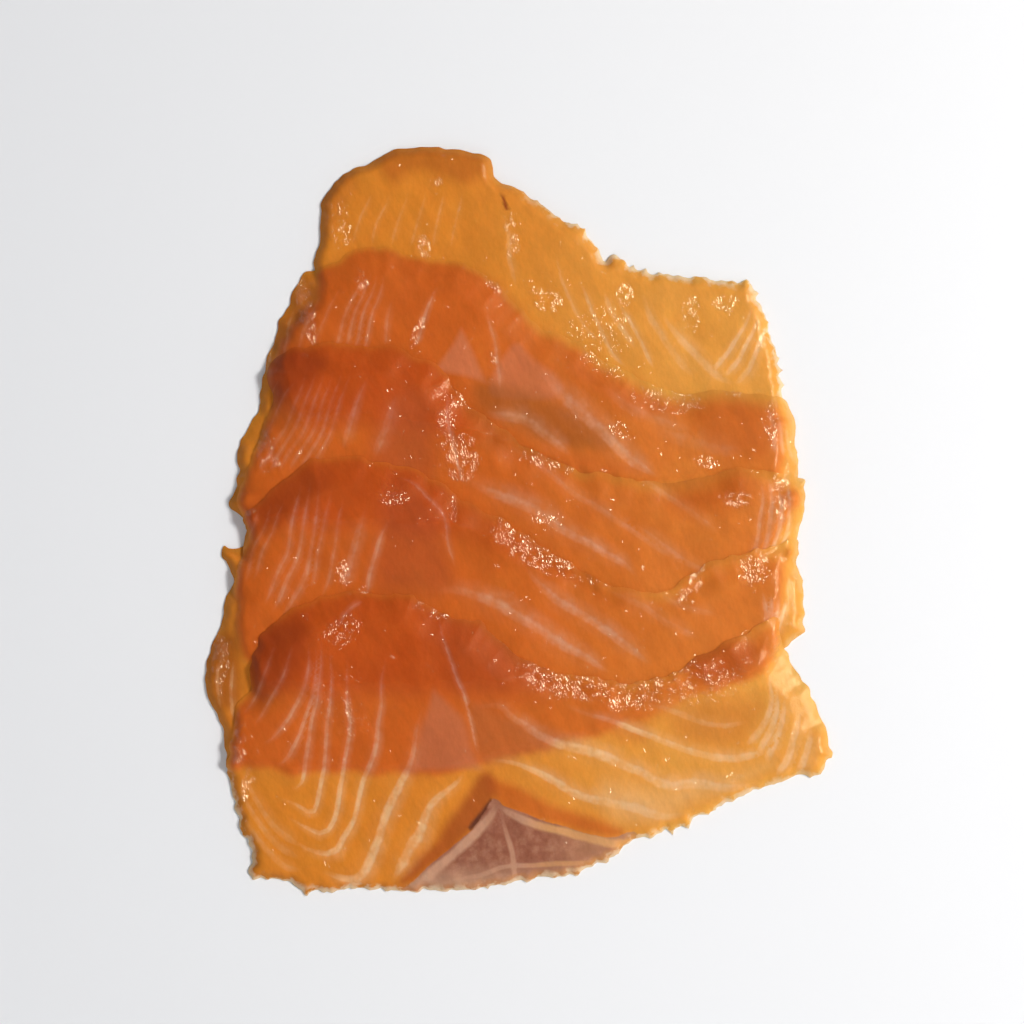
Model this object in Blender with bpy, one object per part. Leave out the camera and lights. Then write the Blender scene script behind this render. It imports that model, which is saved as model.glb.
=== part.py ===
"""Smoked salmon slices: five thin cuts of one fillet, shingled on a flat surface.

Metres, +Z up, standing on Z = 0, with the origin under the middle of the outline. Slice 1 lies lowest and
furthest along +Y. Each later slice lies over the one before it and a step nearer along -Y.

Every slice is a sheet with a feathered rim. All heights belong to the corners of one lattice of triangles
that the whole stack shares, so a slice follows the slices under it facet by facet and keeps an even gap.
"""
import math

import bpy
import bmesh
from mathutils import Vector
from mathutils.geometry import delaunay_2d_cdt

MM = 0.001

SLICE_THICKNESS = 2.2      # mm, away from the rim
RIM_THICKNESS = 0.6        # mm, at the feathered rim
RIM_WIDTH = 5.0            # mm, from the rim to the full thickness
CONTACT_GAP = 0.3          # mm, between a slice and what it lies on
LATTICE_CELL = 5.0         # mm, side of the shared lattice's squares
OUTLINE_STEP = 3.0         # mm, between points on a slice's outline
MERGE_DISTANCE = 0.1       # mm, points nearer than this become one
SMOOTH_ANGLE = math.radians(40)

# Each slice's outline in mm, clockwise from its left end. An edge is a smooth curve through its points, and
# it runs on into the next edge at a corner. The bottom edges of slices 1 to 4 are under the next slice.
OUTLINES = {
    "slice_1": {
        "top": [(-50, 60.5), (-47.5, 68), (-48, 74), (-45, 81), (-38, 85), (-30, 89.2), (-20, 89.4),
                (-12, 88.2), (-8.5, 87.2), (-7.2, 85), (-6.8, 82.4), (4, 76), (13, 70.5), (19, 65)],
        "shoulder": [(20, 62.2), (22, 63.8), (29, 59.6), (42, 58.6), (55, 57.2)],
        "right": [(55, 57.2), (60, 45), (62.6, 33), (64, 15)],
        "bottom": [(62, 9.5), (50, 9.5), (33, 8), (20, 9), (8, 12), (-5, 17), (-17, 20), (-54, 24)],
        "left": [(-58, 29), (-58.4, 39), (-54, 48), (-49, 53)],
    },
    "slice_2": {
        "top": [(-47.5, 61), (-42, 63.6), (-33, 65.5), (-24, 62.5), (-13, 61.6), (-4, 54), (4, 47),
                (15, 42), (25, 35), (36, 31.2), (48, 30), (61, 30)],
        "right": [(63, 29), (65.4, 22), (67, 4)],
        "bottom": [(65, 1), (60, -7), (46, -14), (36, -19.5), (27, -20.5), (18, -18), (8, -12), (-20, -3.5),
                   (-66, -1)],
        "left": [(-69.5, 3.5), (-68.2, 10.5), (-68, 18), (-63.5, 25), (-62, 36), (-59.6, 42), (-59, 48),
                 (-56, 51.5), (-54, 56), (-52, 59)],
    },
    "slice_3": {
        "top": [(-60.2, 38), (-56.8, 40.6), (-51, 41.8), (-38, 42), (-27, 40.4), (-20, 36.3), (-12, 27),
                (-1, 18.5), (10, 13.3), (22, 10.4), (36, 9.6), (50, 12), (61, 11.8)],
        "right": [(67.8, 9.6), (68, 2), (65.6, -6)],
        "bottom": [(63.5, -10), (61, -25), (50, -33), (39, -39.5), (30, -42), (20, -42), (4, -40),
                   (-29, -41.5), (-61, -41)],
        "left": [(-67, -33), (-68.8, -20), (-69.2, -11)],
        "flap": [(-71.8, -8.5), (-71.5, -6), (-67, -6.5)],
        "upper_left": [(-66.2, -3), (-67.6, 4), (-65, 16), (-60.8, 27), (-60.6, 35)],
    },
    "slice_4": {
        "top": [(-66.5, 1.5), (-59, 8), (-52, 13.8), (-43, 15), (-31, 14), (-20, 8.6), (-4, -0.8),
                (9, -9), (18, -15.2), (28, -17), (36, -16), (45, -10.6), (54, -7.6), (64, -5)],
        "right": [(65.8, -4.6), (66.9, -14), (68, -26.8)],
        "bottom": [(65, -28.2), (58, -36), (42, -43), (8, -54.5), (-22, -60.8), (-50, -61.4)],
        "left": [(-70.4, -59.6), (-71.4, -50), (-75, -42), (-75, -34), (-72, -24), (-69, -13), (-66.2, -4)],
    },
    "slice_5": {
        "top": [(-62.3, -27), (-54, -21.5), (-45, -18.2), (-34, -17.4), (-26, -18), (-20, -22),
                (-11, -24.5), (0, -33.4), (11, -37), (25, -38.8), (36, -36.2), (46, -30.4), (61, -23.8)],
        "right": [(61.6, -25.4), (65, -34), (71.5, -46), (75.2, -56.5)],
        "bottom": [(72, -60), (60, -63.6), (50, -68), (36, -74.8), (27, -77.4), (20, -82), (8, -86),
                   (-10, -88.2), (-26, -89.5), (-36, -88.8), (-52, -89.8)],
        "corner": [(-57, -86.8), (-65.4, -86.2)],
        "left": [(-65.6, -79), (-69, -70), (-70.4, -58), (-69.4, -48), (-65, -38)],
    },
}

# The flesh colour of each slice, red, green and blue: deeper where more layers lie under it.
FLESH = {
    "slice_1": (0.62, 0.20, 0.035),
    "slice_2": (0.52, 0.12, 0.022),
    "slice_3": (0.52, 0.12, 0.024),
    "slice_4": (0.56, 0.15, 0.030),
    "slice_5": (0.63, 0.21, 0.045),
}
FLESH_ROUGHNESS = 0.35


def clear_scene():
    """Empty the scene of whatever it opened with."""
    for item in list(bpy.data.objects):
        bpy.data.objects.remove(item, do_unlink=True)


def curve_through(points):
    """Points about OUTLINE_STEP apart on the Catmull-Rom curve through the points, without the last."""
    knots = [Vector(point) for point in points]
    path = [2 * knots[0] - knots[1]] + knots + [2 * knots[-1] - knots[-2]]
    samples = []
    for before, start, end, after in zip(path, path[1:], path[2:], path[3:]):
        count = max(1, round((end - start).length / OUTLINE_STEP))
        for step in range(count):
            t = step / count
            samples.append(0.5 * (
                2 * start
                + (end - before) * t
                + (2 * before - 5 * start + 4 * end - after) * t ** 2
                + (3 * start - before - 3 * end + after) * t ** 3
            ))
    return samples


def closed_outline(edges):
    """One slice's whole outline: its edges, end to end."""
    outline = []
    for edge in edges.values():
        outline += curve_through(edge)
        outline.append(Vector(edge[-1]))
    return without_near_twins(outline)


def without_near_twins(outline):
    """The outline without the points that all but coincide with the one before them."""
    kept = []
    for point in outline:
        if not kept or (point - kept[-1]).length > MERGE_DISTANCE:
            kept.append(point)
    if (kept[0] - kept[-1]).length <= MERGE_DISTANCE:
        kept.pop()
    return kept


def centred(outlines):
    """All outlines, moved so that the box around them is centred on the origin."""
    xs = [point.x for outline in outlines.values() for point in outline]
    ys = [point.y for outline in outlines.values() for point in outline]
    middle = Vector(((min(xs) + max(xs)) / 2, (min(ys) + max(ys)) / 2))
    return {name: [point - middle for point in outline] for name, outline in outlines.items()}


class Lattice:
    """Heights at the corners of equal squares, each cut into two triangles and flat between corners."""

    def __init__(self, outlines):
        reach = max(max(abs(point.x), abs(point.y)) for outline in outlines.values() for point in outline)
        self.half_count = math.ceil(reach / LATTICE_CELL) + 1
        span = range(-self.half_count, self.half_count + 1)
        self.height = {(i, j): 0.0 for i in span for j in span}

    def corners_under(self, point):
        """The three corners of the triangle that holds a point, each with its share of the point."""
        i = math.floor(point.x / LATTICE_CELL)
        j = math.floor(point.y / LATTICE_CELL)
        u = point.x / LATTICE_CELL - i
        v = point.y / LATTICE_CELL - j
        if u > v:
            return {(i, j): 1 - u, (i + 1, j): u - v, (i + 1, j + 1): v}
        return {(i, j): 1 - v, (i, j + 1): v - u, (i + 1, j + 1): u}

    def resting_height(self, point):
        """The underside of a slice at a point: on the ground, or a gap above the slices below."""
        shares = self.corners_under(point).items()
        return sum(share * self.rest_on(self.height[corner]) for corner, share in shares)

    @staticmethod
    def rest_on(height):
        return height + CONTACT_GAP if height > 0 else 0.0

    def raise_under(self, centres):
        """Lift every corner of the triangles a slice covers to the top of that slice."""
        covered = {corner for centre in centres for corner in self.corners_under(centre)}
        for corner in covered:
            self.height[corner] = self.rest_on(self.height[corner]) + SLICE_THICKNESS

    def points_and_edges_near(self, outline):
        """The lattice's corners and triangle sides over the box around an outline."""
        low_i = math.floor(min(point.x for point in outline) / LATTICE_CELL)
        high_i = math.ceil(max(point.x for point in outline) / LATTICE_CELL)
        low_j = math.floor(min(point.y for point in outline) / LATTICE_CELL)
        high_j = math.ceil(max(point.y for point in outline) / LATTICE_CELL)
        index = {}
        for i in range(low_i, high_i + 1):
            for j in range(low_j, high_j + 1):
                index[(i, j)] = len(index)
        points = [Vector((i * LATTICE_CELL, j * LATTICE_CELL)) for i, j in index]
        edges = []
        for (i, j), here in index.items():
            for neighbour in ((i + 1, j), (i, j + 1), (i + 1, j + 1)):
                if neighbour in index:
                    edges.append((here, index[neighbour]))
        return points, edges


def triangles_inside(outline, lattice):
    """The outline filled with triangles, none of which crosses a side of the lattice's triangles."""
    points, edges = lattice.points_and_edges_near(outline)
    anticlockwise = outline[::-1]
    loop = list(range(len(points), len(points) + len(outline)))
    points, _, faces, _, _, face_sources = delaunay_2d_cdt(
        points + anticlockwise, edges, [loop], 0, MERGE_DISTANCE, True)
    inside = [face for face, sources in zip(faces, face_sources) if sources]
    return points, inside


def distance_to_rim(point, outline):
    """How far a point is from the nearest side of the outline."""
    nearest = math.inf
    for start, end in zip(outline, outline[1:] + outline[:1]):
        side = end - start
        along = max(0.0, min(1.0, (point - start).dot(side) / side.length_squared))
        nearest = min(nearest, (point - start - along * side).length)
    return nearest


def thickness_at(point, outline):
    """The slice's thickness: thin at the rim, rounding up to the full thickness."""
    share = min(1.0, distance_to_rim(point, outline) / RIM_WIDTH)
    return RIM_THICKNESS + (SLICE_THICKNESS - RIM_THICKNESS) * math.sin(share * math.pi / 2)


def flesh_material(name):
    material = bpy.data.materials.new(name + "_flesh")
    material.use_nodes = True
    shader = material.node_tree.nodes["Principled BSDF"]
    shader.inputs["Base Color"].default_value = (*FLESH[name], 1.0)
    shader.inputs["Roughness"].default_value = FLESH_ROUGHNESS
    shader.inputs["Metallic"].default_value = 0.0
    return material


def make_slice(name, outline, lattice):
    """One slice: its underside as a sheet on what lies below, extruded up to its own thickness."""
    points, faces = triangles_inside(outline, lattice)
    sheet = bmesh.new()
    corners = {}
    for face in faces:
        for index in face:
            if index not in corners:
                point = points[index]
                height = lattice.resting_height(point)
                corners[index] = sheet.verts.new(Vector((point.x, point.y, height)) * MM)
        sheet.faces.new([corners[index] for index in face])
    grown = bmesh.ops.extrude_face_region(sheet, geom=sheet.faces[:])
    for item in grown["geom"]:
        if isinstance(item, bmesh.types.BMVert):
            flat = Vector((item.co.x, item.co.y)) / MM
            item.co.z += thickness_at(flat, outline) * MM
    bmesh.ops.recalc_face_normals(sheet, faces=sheet.faces[:])

    mesh = bpy.data.meshes.new(name)
    sheet.to_mesh(mesh)
    sheet.free()
    mesh.materials.append(flesh_material(name))
    mesh.shade_smooth()
    mesh.set_sharp_from_angle(angle=SMOOTH_ANGLE)
    bpy.context.scene.collection.objects.link(bpy.data.objects.new(name, mesh))

    lattice.raise_under([sum((points[index] for index in face), Vector((0, 0))) / 3 for face in faces])


def main():
    clear_scene()
    outlines = centred({name: closed_outline(edges) for name, edges in OUTLINES.items()})
    lattice = Lattice(outlines)
    for name, outline in outlines.items():
        make_slice(name, outline, lattice)


main()
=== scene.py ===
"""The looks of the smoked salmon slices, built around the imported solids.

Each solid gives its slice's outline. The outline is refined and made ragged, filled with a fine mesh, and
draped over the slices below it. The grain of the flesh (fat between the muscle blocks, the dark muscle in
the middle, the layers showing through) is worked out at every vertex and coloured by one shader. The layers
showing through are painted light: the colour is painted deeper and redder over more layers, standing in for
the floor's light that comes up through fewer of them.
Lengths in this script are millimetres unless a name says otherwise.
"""

import math

import bpy
import numpy as np
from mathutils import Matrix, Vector
from mathutils.geometry import delaunay_2d_cdt


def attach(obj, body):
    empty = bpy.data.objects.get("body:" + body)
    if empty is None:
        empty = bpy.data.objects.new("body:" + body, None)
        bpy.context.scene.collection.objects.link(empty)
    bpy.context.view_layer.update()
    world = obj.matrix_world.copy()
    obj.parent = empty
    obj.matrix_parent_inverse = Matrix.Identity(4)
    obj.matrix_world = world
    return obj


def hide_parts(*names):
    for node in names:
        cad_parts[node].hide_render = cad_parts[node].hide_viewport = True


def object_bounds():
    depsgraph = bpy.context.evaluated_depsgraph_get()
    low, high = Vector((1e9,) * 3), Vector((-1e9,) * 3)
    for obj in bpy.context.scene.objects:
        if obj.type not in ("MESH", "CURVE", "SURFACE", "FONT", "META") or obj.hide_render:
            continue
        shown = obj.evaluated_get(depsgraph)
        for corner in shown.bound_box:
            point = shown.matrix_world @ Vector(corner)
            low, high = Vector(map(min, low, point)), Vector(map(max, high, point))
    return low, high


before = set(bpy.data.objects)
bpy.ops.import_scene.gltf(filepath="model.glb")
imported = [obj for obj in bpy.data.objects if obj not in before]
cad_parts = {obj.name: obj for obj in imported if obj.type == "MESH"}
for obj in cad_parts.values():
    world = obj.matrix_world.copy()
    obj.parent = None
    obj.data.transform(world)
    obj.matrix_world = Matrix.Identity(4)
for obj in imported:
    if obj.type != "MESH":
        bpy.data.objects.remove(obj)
cad_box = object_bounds()

MM = 0.001

# Shape of a slice
THICKNESS = 2.2          # away from the rim
RIM_THICKNESS = 0.08     # at the rim
ROUND_WIDTH = 2.7        # from a cut, rounded rim to the full thickness
FEATHER_WIDTH = 8.0      # from a rim that the knife ran out of to the full thickness
PRESSED_WIDTH = 8.0      # from the rim, where a slice lies close, to where it bridges the steps below it
CONTACT_GAP = 0.03       # between a slice and what it lies on
MESH_STEP = 0.6          # between vertices of the fine mesh
RIM_REACH = 9.0          # the farthest distance from the rim that is worked out
GRID_STEP = 0.5          # cell of the height field that the slices are draped over
GRID_MARGIN = 6.0
UPRIGHT = 0.01           # a face whose normal rises less than this stands upright
PATCH_REACH = 9.0        # the farthest distance from a patch's edge that is worked out
GRAIN_REACH = 5.0        # the farthest a fat band is worked out, also in its own half widths
CURVE_STEP = 2.0         # between points of the curves that bands and patches follow
KEPT_STEP = 1.5          # at least this far apart are the corners kept from a solid's outline
MESH_SHAKE = 0.08        # how far the fine mesh's vertices are shaken off their even rows
RIM_CLEARANCE = MESH_STEP * 0.6    # between the rim and the fine mesh's inner vertices
FAT_GROOVE = 0.1         # depth of the groove along a band of fat
WET_PITS = 0.08          # height of the unevenness in wet places
SWELLS = ((0.18, 13), (0.1, 5))    # height and cell of a slice's broad and small swells
EASING_CELLS = (6, 5, 4, 3, 2)     # how many neighbours are averaged as a surface eases off a step
RIM_SHADE_CELLS = 3          # how many neighbours soften the painted shade that spreads out from under a rim
NOISE_CELLS = 64         # cells to a side after which the noise repeats

OUTLINE_SEED = 100
SLICE_SEED = 500

# Where the flesh turns from the firm back of the fish to its soft belly, along X
BACK_END_X = -25.0
BELLY_START_X = 45.0

VIEW_WIDTH = 245.8       # width of the floor that the camera sees
CAMERA_HEIGHT = 800.0
CAMERA_CENTRE = (-2.3, 2.0)
SENSOR_WIDTH = 36.0

# Square area lights: place and size in metres, watts, and colour
KEY_LIGHT = ((0.86, 0.1, 0.86), 0.18, 13.4, (1.0, 0.985, 0.965))
FILL_LIGHT = ((-0.25, -1.1, 1.0), 0.9, 5.0, (0.97, 0.985, 1.0))
GLINT_LIGHT = ((0.86, 0.12, 0.86), 0.6, 64.0, (1.0, 0.84, 0.56))
SKY_COLOUR = (0.95, 0.97, 1.0, 1.0)
HORIZON_STRENGTH = 0.72
ZENITH_STRENGTH = 0.06

# Surface of the flesh, in metres
RIPPLE_HEIGHT = 0.00012
FACET_HEIGHT = 0.00052

NAMES = sorted(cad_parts)


# ---------------------------------------------------------------- the fat grain, slice by slice

def fan(first, last, count, width, strength):
    """Bands that turn evenly from one curve into another."""
    first = np.array(first, float)
    last = np.array(last, float)
    shares = np.linspace(0, 1, count)
    return [(first + (last - first) * share, width, strength) for share in shares]


def band(points, width, strength):
    """A band of fat along a curve. Its half width may change from the first end to the last."""
    return [(np.array(points, float), width, strength)]


FAT = {
    "slice_1": (
        fan([(-36, 79.5), (-39, 71), (-40.5, 65)],
            [(-14.5, 79.5), (-15.5, 72), (-17, 65)], 6, 0.35, 0.25)
        + band([(-4.5, 73.5), (-3, 67.5), (-2.5, 62), (-0.5, 55.5)], 0.5, 0.4)
        + band([(13, 58.5), (15.5, 53), (19, 46), (22, 39.5), (25.5, 36.5)], 0.45, 0.7)
        + band([(7.5, 65), (9.5, 56.5), (14, 48), (19, 42)], 0.4, 0.35)
        + band([(19, 55.5), (21.5, 50.5), (25, 44.5), (27, 40.5)], 0.6, 0.5)
        + band([(22, 53.5), (25.5, 49), (28.5, 42), (32, 35.5)], 0.45, 0.7)
        + band([(28.5, 55), (31.5, 47.5), (36, 40.5), (41.5, 34)], 0.8, 0.4)
        + band([(33.5, 49.5), (37, 44.5), (42, 39.5), (47, 34.5), (51, 32.5)], 0.9, 0.6)
        + fan([(55.5, 53), (53.5, 47), (49.5, 40.5), (45, 35)],
            [(58.5, 48), (57.5, 42), (54.5, 36), (51, 32.5)], 3, (0.45, 0.7), 0.9)
    ),
    "slice_2": (
        fan([(-37.5, 59.5), (-41, 52), (-43.5, 45.5), (-45, 41)],
            [(-33, 60), (-34.5, 52), (-36.5, 45.5), (-38.5, 40.5)], 4, (0.3, 0.45), 0.5)
        + fan([(-42.5, 57.5), (-46, 51.5), (-49, 44.5), (-51, 38.5)],
            [(-53, 53), (-55.5, 47), (-57, 41), (-57.5, 36)], 3, (0.3, 0.4), 0.25)
        + band([(-31, 53), (-32, 47.5), (-33, 42)], 0.4, 0.4)
        + band([(-19.5, 56), (-22, 52), (-24.5, 45), (-26, 41)], 0.4, 0.9)
        + band([(-8, 51.5), (-7, 44.5), (-6, 38), (-5, 31)], 0.4, 0.55)
        + band([(3.5, 36), (8, 32), (13, 27), (19, 21.5), (25.5, 15), (33, 10)], (1.7, 0.9), 0.9)
        + band([(-9, 26), (-5.5, 25.5), (0.5, 24), (6.5, 20), (12, 15)], (1.5, 0.8), 0.6)
        + band([(19, 32.5), (25, 27.5), (32, 24), (40.5, 21)], 1.2, 0.3)
        + band([(28.5, 23), (38, 19), (47.5, 16.5), (53.5, 17)], 1.3, 0.25)
        + fan([(59, 27.5), (60, 21.5), (60, 15.5)],
            [(63, 24), (63.5, 19.5), (64.5, 14)], 3, (0.4, 0.5), 0.6)
    ),
    "slice_3": (
        fan([(-51.5, 38), (-53, 30), (-56, 23), (-60, 16.5), (-63, 11)],
            [(-41, 37), (-43, 29), (-45.5, 21.5), (-48.5, 15.5), (-51, 11)], 6, (0.28, 0.5), 0.36)
        + fan([(-53, 35), (-57, 29), (-60, 23), (-62.5, 17)],
            [(-57, 35.5), (-60.5, 29.5), (-63.5, 23), (-65.5, 17.5)], 2, (0.3, 0.4), 0.25)
        + band([(-37, 35), (-39, 28.5), (-41, 22.5), (-42.5, 16.5)], (0.5, 0.7), 0.6)
        + band([(-29.5, 30), (-31, 25.5), (-34, 19.5), (-35.5, 15)], (0.7, 0.9), 0.5)
        + band([(-18, 31), (-18, 25.5), (-16.5, 19.5), (-15, 12), (-14.5, 8.5)], 0.35, 0.8)
        + band([(-17, 9), (-12.5, 9), (-8, 7.5), (3, 2.5), (11.5, -3), (22, -8.5), (28.5, -13.5)],
                (1.6, 0.7), 0.85)
        + band([(-6.5, 19.5), (2, 14.5), (9, 9), (19, 3), (31, -6), (40.5, -11)], (0.8, 0.6), 0.4)
        + band([(26, -0.5), (33.5, -6), (39, -10), (45.5, -13.5)], 0.8, 0.5)
        + band([(23.5, 12), (31, 8.5), (40.5, 2), (47.5, -3.5)], 0.7, 0.3)
        + fan([(56.5, 10), (57.5, 3.5), (56.5, -4.5), (53.5, -12)],
            [(63, 12), (63.5, 3.5), (63, -4.5), (61, -11)], 4, (0.4, 0.5), 0.8)
    ),
    "slice_4": (
        fan([(-52, 11.5), (-55, -2.5), (-57, -9.5), (-59.5, -15), (-62, -21)],
            [(-48, 11.5), (-49.5, -2), (-51, -9.5), (-53.5, -17), (-58, -24)], 3, (0.28, 0.6), 0.6)
        + fan([(-56, 6), (-59, -1), (-62, -8.5), (-65, -14.5)],
            [(-63, 5), (-65, -2.5), (-67, -9.5), (-68.5, -15.5)], 3, (0.3, 0.4), 0.35)
        + band([(-45, 9), (-47, 0), (-49, -8.5), (-51, -16.5)], (0.3, 0.5), 0.45)
        + band([(-42, 7.5), (-44, -2.5), (-46, -11.5), (-48, -18.5)], (0.3, 0.5), 0.4)
        + band([(-37, 3.5), (-39, -3), (-41, -8.5), (-43, -17)], (0.6, 1.0), 0.55)
        + band([(-31, 0.5), (-33.5, -3.5), (-35.5, -10), (-37, -18)], (0.45, 0.6), 0.8)
        + band([(-29.5, 10), (-24.5, 8), (-19.5, 1.5), (-17.5, -5.5), (-15.5, -12)], (0.3, 0.35), 0.7)
        + band([(-22, -17), (-17.5, -16.5), (-13, -17.5), (-4.5, -21), (5, -26.5), (11.5, -31),
                (17.5, -34.5), (22, -37)], (1.7, 0.8), 0.85)
        + band([(0, -10), (4, -15), (11.5, -21), (20.5, -26.5), (27.5, -32), (31, -35.5)], (0.9, 1.0), 0.9)
        + band([(19, -16.5), (28.5, -20.5), (36, -25), (43, -28.5)], 0.8, 0.35)
        + band([(32, -16.5), (40.5, -21.5), (47.5, -22.5)], 0.7, 0.25)
        + fan([(57, -16.5), (58.5, -22.5), (58, -28.5)],
            [(63.5, -18), (62, -23.5), (61, -27.5)], 4, (0.5, 0.6), 1.0)
        + fan([(-72, -32.5), (-73, -38.5), (-72, -45.5)],
            [(-69, -32.5), (-69.5, -40.5), (-68.5, -49)], 2, 0.4, 0.4)
    ),
    "slice_5": (
        fan([(-50.5, -28.5), (-52, -40), (-55.5, -47), (-60, -52), (-62.5, -53)],
            [(-49, -28.5), (-50, -40.5), (-52, -48.5), (-55.5, -57), (-59, -58.5)], 2, (0.3, 0.55), 0.8)
        + band([(-47.5, -27), (-49, -40.5), (-50.5, -52.5), (-52.5, -63), (-56, -64.5)], (0.35, 0.6), 0.9)
        + band([(-46, -28.5), (-45.5, -38.5), (-46, -46), (-47, -60.5), (-49.5, -69), (-53, -68.5),
                (-59, -66.5)], (0.35, 0.55), 0.9)
        + band([(-41.5, -31), (-41.5, -43), (-41, -51), (-43.5, -64.5), (-46, -74), (-50.5, -73.5),
                (-57, -71)], (0.4, 0.6), 1.0)
        + band([(-32, -31), (-34, -38.5), (-34, -46.5), (-35, -55), (-38, -63.5), (-40.5, -72),
                (-44, -79), (-49, -79), (-55.5, -76.5)], (0.45, 0.8), 1.0)
        + band([(-23.5, -43), (-25.5, -52.5), (-28, -61), (-31.5, -68.5), (-34.5, -77), (-38.5, -84.5),
                (-41.5, -85.5), (-48.5, -83.5)], (0.7, 1.1), 1.0)
        + band([(-13.5, -59.5), (-15.5, -62.5), (-20.5, -67), (-24.5, -75), (-28, -81.5), (-31.5, -87)],
                (0.8, 1.2), 1.0)
        + fan([(-67.5, -60), (-64, -67), (-59, -74), (-53, -78)],
            [(-68.5, -67), (-64.5, -75), (-58, -82), (-53, -83.5)], 3, (0.5, 0.8), 0.3)
        + fan([(-54, -28.5), (-56.5, -37), (-61, -44.5), (-64.5, -48.5)],
            [(-58, -28.5), (-61, -36.5), (-64, -43), (-67, -46.5)], 2, 0.35, 0.45)
        + band([(-44, -26), (-41.5, -22), (-38, -19)], 0.35, 0.5)
        + band([(-20.5, -22), (-16.5, -34.5), (-13, -46), (-10, -56.5)], (0.3, 0.35), 0.9)
        + band([(-13, -45), (-5.5, -44.5), (-1, -48), (7, -52.5), (16, -55), (26, -59.5), (33, -62.5),
                (43, -63.5), (52.5, -63.5), (59, -62.5)], (1.0, 1.2), 0.95)
        + band([(9, -43), (14, -45.5), (22, -48), (31, -51.5), (42, -56), (50, -57), (57.5, -55.5),
                (61, -52)], (0.7, 0.9), 0.9)
        + band([(-11.5, -57), (-6.5, -57), (0, -58.5), (7, -62.5), (16, -66.5), (26, -69), (33, -70.5),
                (40.5, -70)], (0.8, 1.2), 0.95)
        + band([(28.5, -43), (38, -46), (46.5, -48.5), (55, -48)], 0.6, 0.35)
        + fan([(58.5, -35.5), (59.5, -43.5), (57.5, -49.5), (53.5, -54)],
            [(63, -40.5), (62, -48.5), (59.5, -55), (58.5, -58.5)], 3, (0.4, 0.9), 0.85)
        + fan([(67, -44.5), (65, -51.5), (63, -58), (61, -62)],
            [(69, -48.5), (69, -52.5), (67.5, -58), (66, -61)], 2, (0.7, 1.0), 1.0)
    ),
}

# Fat that frames and crosses the dark muscle where it lies open, on the last slice
MUSCLE_FAT = (
    band([(-5, -64), (-6.5, -68.5), (-11, -74.5), (-17.5, -81), (-23.5, -87), (-26.5, -89.5)],
            (1.0, 1.1), 1.0)
    + band([(-9, -65), (-5, -69), (-0.5, -71.5), (7.5, -74), (14, -75), (21.5, -77), (31, -78)],
            (0.8, 1.0), 1.0)
    + band([(-6, -68.5), (-4.5, -73), (-2.5, -79.5), (-1.5, -87), (-0.5, -92.5)], (0.5, 0.6), 0.7)
    + band([(-19.5, -87.5), (-10, -85), (-5.5, -83), (1, -83), (8.5, -82.5), (18.5, -81.5)],
            (0.5, 0.6), 0.7)
)

# The dark muscle under the skin, which lies open at the last slice's lower rim
DARK_MUSCLE = [
    (-7, -66.5), (-4.5, -68.5), (7.5, -72.5), (20, -75.5), (28.5, -76.5), (31, -95), (-35, -95),
    (-25, -86), (-18.5, -79.5), (-12, -74),
]

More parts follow.
